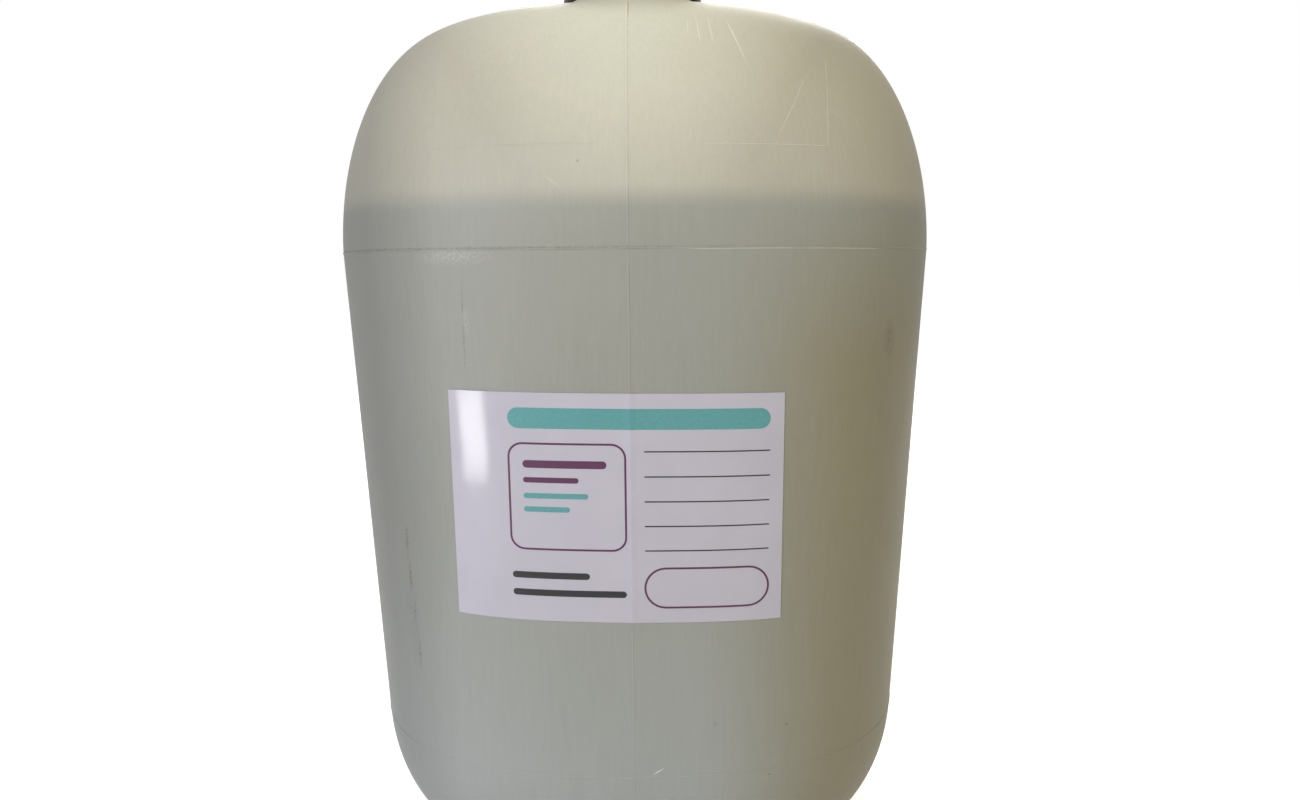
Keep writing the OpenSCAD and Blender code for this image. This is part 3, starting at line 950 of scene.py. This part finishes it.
# Studio
# A pale floor that runs out of sight, a white surround, large soft lamps from the left, the front, the top
# and behind, a weak warm one from the right, and a small low panel that the label mirrors.
floor_half = 8
mirrored_share = 0.6
floor_mesh = bpy.data.meshes.new("floor")
floor_mesh.from_pydata([
    (-floor_half, -floor_half, 0), (floor_half, -floor_half, 0),
    (floor_half, floor_half, 0), (-floor_half, floor_half, 0)], [], [(0, 1, 2, 3)])
floor = bpy.data.objects.new("floor", floor_mesh)
bpy.context.scene.collection.objects.link(floor)


def white_to_the_eye(tree):
    """How white the surround is to a ray: wholly to the camera, partly in reflections, not as light."""
    path = add(tree, "ShaderNodeLightPath")
    mirrored = add(tree, "ShaderNodeMath", {
        0: path.outputs["Is Glossy Ray"], 1: mirrored_share}, operation="MULTIPLY")
    seen = add(tree, "ShaderNodeMath", {
        0: path.outputs["Is Camera Ray"], 1: path.outputs["Is Transmission Ray"]}, operation="MAXIMUM")
    return add(tree, "ShaderNodeMath", {
        0: seen.outputs[0], 1: mirrored.outputs[0]}, operation="MAXIMUM").outputs[0]


# Painted board: matt and pale. To the camera it is lifted to white, so that only the can's shadow shows.
board, tree = new_material("pale_painted_board")
paint = add(tree, "ShaderNodeBsdfPrincipled", {"Base Color": linear("#E4E4E2"), "Roughness": 0.9})
seen = white_to_the_eye(tree)
place = add(tree, "ShaderNodeTexCoord").outputs["Object"]
away = add(tree, "ShaderNodeVectorMath", {0: place}, operation="LENGTH")
share = add(tree, "ShaderNodeMapRange", {
    "Value": away.outputs["Value"], "From Min": 0.6, "From Max": 2.5, "To Min": 0.72, "To Max": 1})
lift = add(tree, "ShaderNodeMath", {0: seen, 1: share.outputs["Result"]}, operation="MULTIPLY")
glow = add(tree, "ShaderNodeEmission", {"Strength": lift.outputs[0]})
lifted = add(tree, "ShaderNodeAddShader", {0: paint.outputs["BSDF"], 1: glow.outputs["Emission"]})
add(tree, "ShaderNodeOutputMaterial", {"Surface": lifted.outputs["Shader"]})
floor_mesh.materials.append(board)

world = bpy.data.worlds.new("studio")
bpy.context.scene.world = world
world.use_nodes = True
tree = world.node_tree
tree.nodes.clear()
seen = white_to_the_eye(tree)
lit = add(tree, "ShaderNodeBackground", {"Color": linear("#FFF0D8"), "Strength": 0.06})
white = add(tree, "ShaderNodeBackground", {"Color": (1, 1, 1, 1), "Strength": 1})
around = add(tree, "ShaderNodeMixShader", {
    0: seen, 1: lit.outputs["Background"], 2: white.outputs["Background"]})
add(tree, "ShaderNodeOutputWorld", {"Surface": around.outputs["Shader"]})

# Each lamp's name, place, aim, width and height in metres, power in watts, and colour
for name, spot, aim, wide, tall, power, colour in (
        ("key", (-1.2, -1.76, 0.82), (0, 0, 0.25), 1.2, 1.2, 19.4, "#DCE6FF"),
        ("front", (-0.1, -1.8, 1.5), (0, 0, 0.25), 1.2, 1.2, 15.2, "#FFF3DC"),
        ("panel", (-0.478, -0.547, 0.09), (-0.067, -0.136, 0.24), 0.12, 0.1, 0.38, "#FFFFFF"),
        ("fill", (1.0, -1.2, 1.6), (0, 0, 0.3), 1, 1, 3.9, "#FFF4A8"),
        ("top", (-0.1, 0.3, 2.0), (0, 0, 0.3), 1.6, 1.6, 4.6, "#FFF4E4"),
        ("back", (0.2, 1.85, 1.5), (0, 0, 0.25), 1.2, 1.2, 28, "#FFFFFF")):
    lamp = bpy.data.lights.new(name, "AREA")
    lamp.shape = "RECTANGLE"
    lamp.size = wide
    lamp.size_y = tall
    lamp.energy = power
    lamp.color = linear(colour)[:3]
    holder = bpy.data.objects.new(name, lamp)
    bpy.context.scene.collection.objects.link(holder)
    holder.location = spot
    way = np.array(aim) - np.array(spot)
    holder.rotation_euler = (math.atan2(math.hypot(way[0], way[1]), -way[2]), 0, math.atan2(-way[0], way[1]))

# The camera stands close in front of the can, a little to the right of its middle, and looks slightly down.
look_down = 0.1423
roll = 0.0082
pan = -0.0012
camera_data = bpy.data.cameras.new("camera")
camera_data.sensor_width = 36
camera_data.lens = 25.32
camera = bpy.data.objects.new("camera", camera_data)
camera.location = (0.0067, -0.5222, 0.3054)
camera.rotation_euler = (math.pi / 2 - look_down, roll, pan)
bpy.context.scene.collection.objects.link(camera)
bpy.context.scene.camera = camera
bpy.context.scene.view_settings.view_transform = "Standard"
